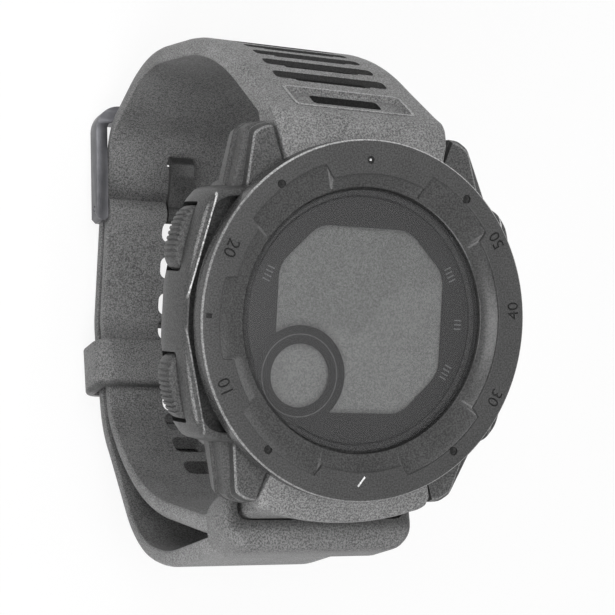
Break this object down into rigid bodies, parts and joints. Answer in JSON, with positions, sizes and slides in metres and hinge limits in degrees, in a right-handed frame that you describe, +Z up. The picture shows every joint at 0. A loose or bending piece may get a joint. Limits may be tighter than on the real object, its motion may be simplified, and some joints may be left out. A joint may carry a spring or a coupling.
{
  "type": "wrist gps unit",
  "caption": "Wrist-worn GPS unit with round ribbed-button case, shaped window display and a buckled silicone strap held by two keepers.",
  "frame": {"origin": "middle of the underside of the buckled strap loop, which the unit stands on", "axes": "+Z up along the dial's outward normal, +X towards 3 o'clock, +Y towards 12 o'clock"},
  "size_m": [0.0496, 0.0742, 0.0716],
  "materials": {
    "bezel_polymer": "satin",
    "case_polymer": "satin",
    "lens_glass": "clear glossy",
    "strap_silicone": "matte",
    "button_rubber": "ribbed matte",
    "seal_rubber": "matte",
    "steel": "satin",
    "buckle_metal": "satin",
    "display_film": "satin",
    "circuit_board": "satin",
    "dark_plastic": "matte",
    "ceramic": "satin"
  },
  "bodies": {
    "case": {"bezel": "bezel_polymer", "lens": "lens_glass", "lens_gasket": "seal_rubber", "display_mask": "display_film", "sub_window_ring": "display_film", "display_panel": "display_film", "display_carrier": "case_polymer", "mid_case": "case_polymer", "back_cover": "case_polymer", "back_gasket": "seal_rubber", "case_screw_1": "steel", "case_screw_2": "steel", "case_screw_3": "steel", "case_screw_4": "steel", "main_board": "circuit_board", "battery": "steel", "gps_antenna": "ceramic", "vibration_motor": "steel", "buzzer": "dark_plastic", "heart_rate_board": "circuit_board", "heart_rate_window": "lens_glass", "charging_socket": "dark_plastic", "pressure_port_cover": "steel", "button_seal_gps": "seal_rubber", "button_seal_set": "seal_rubber", "button_seal_light": "seal_rubber", "button_seal_menu": "seal_rubber", "button_seal_back": "seal_rubber", "switch_strip_right": "circuit_board", "switch_strip_left": "circuit_board", "long_strap": "strap_silicone", "short_strap": "strap_silicone", "lug_bar_six": "steel", "lug_bar_twelve": "steel"},
    "button_gps_body": {"button_gps": "button_rubber", "button_clip_gps": "steel"},
    "button_set_body": {"button_set": "button_rubber", "button_clip_set": "steel"},
    "button_light_body": {"button_light": "button_rubber", "button_clip_light": "steel"},
    "button_menu_body": {"button_menu": "button_rubber", "button_clip_menu": "steel"},
    "button_back_body": {"button_back": "button_rubber", "button_clip_back": "steel"},
    "buckle_frame_body": {"buckle_frame": "buckle_metal", "buckle_spring_bar": "steel"},
    "buckle_tang_body": {"buckle_tang": "buckle_metal"},
    "keeper_near_buckle_body": {"keeper_near_buckle": "strap_silicone"},
    "keeper_near_case_body": {"keeper_near_case": "strap_silicone"}
  },
  "joints": [
    {"name": "button_gps_press", "type": "slide", "parent": "case", "child": "button_gps_body", "axis": [-0.9272, -0.3746, 0], "range_m": [0, 0.0006], "stiffness_N_per_m": 3000, "springref_m": -0.0002},
    {"name": "button_set_press", "type": "slide", "parent": "case", "child": "button_set_body", "axis": [-0.9272, 0.3746, 0], "range_m": [0, 0.0006], "stiffness_N_per_m": 3000, "springref_m": -0.0002},
    {"name": "button_light_press", "type": "slide", "parent": "case", "child": "button_light_body", "axis": [0.8829, -0.4695, 0], "range_m": [0, 0.0006], "stiffness_N_per_m": 3000, "springref_m": -0.0002},
    {"name": "button_menu_press", "type": "slide", "parent": "case", "child": "button_menu_body", "axis": [1, 0, 0], "range_m": [0, 0.0006], "stiffness_N_per_m": 3000, "springref_m": -0.0002},
    {"name": "button_back_press", "type": "slide", "parent": "case", "child": "button_back_body", "axis": [0.8829, 0.4695, 0], "range_m": [0, 0.0006], "stiffness_N_per_m": 3000, "springref_m": -0.0002},
    {"name": "buckle_frame_pivot", "type": "hinge", "parent": "case", "child": "buckle_frame_body", "pos_m": [0.00075, -0.01365, 0.00477], "axis": [1, 0, 0], "range_deg": [0, 3]},
    {"name": "buckle_tang_pivot", "type": "hinge", "parent": "buckle_frame_body", "child": "buckle_tang_body", "pos_m": [0.00075, -0.01365, 0.00477], "axis": [1, 0, 0], "range_deg": [0, 2]},
    {"name": "keeper_near_buckle_slide", "type": "slide", "parent": "case", "child": "keeper_near_buckle_body", "axis": [0, -0.9511, -0.309], "range_m": [-0.0015, 0.0015]},
    {"name": "keeper_near_case_slide", "type": "slide", "parent": "case", "child": "keeper_near_case_body", "axis": [0, 0.2924, -0.9563], "range_m": [-0.0008, 0.0015]}
  ]
}
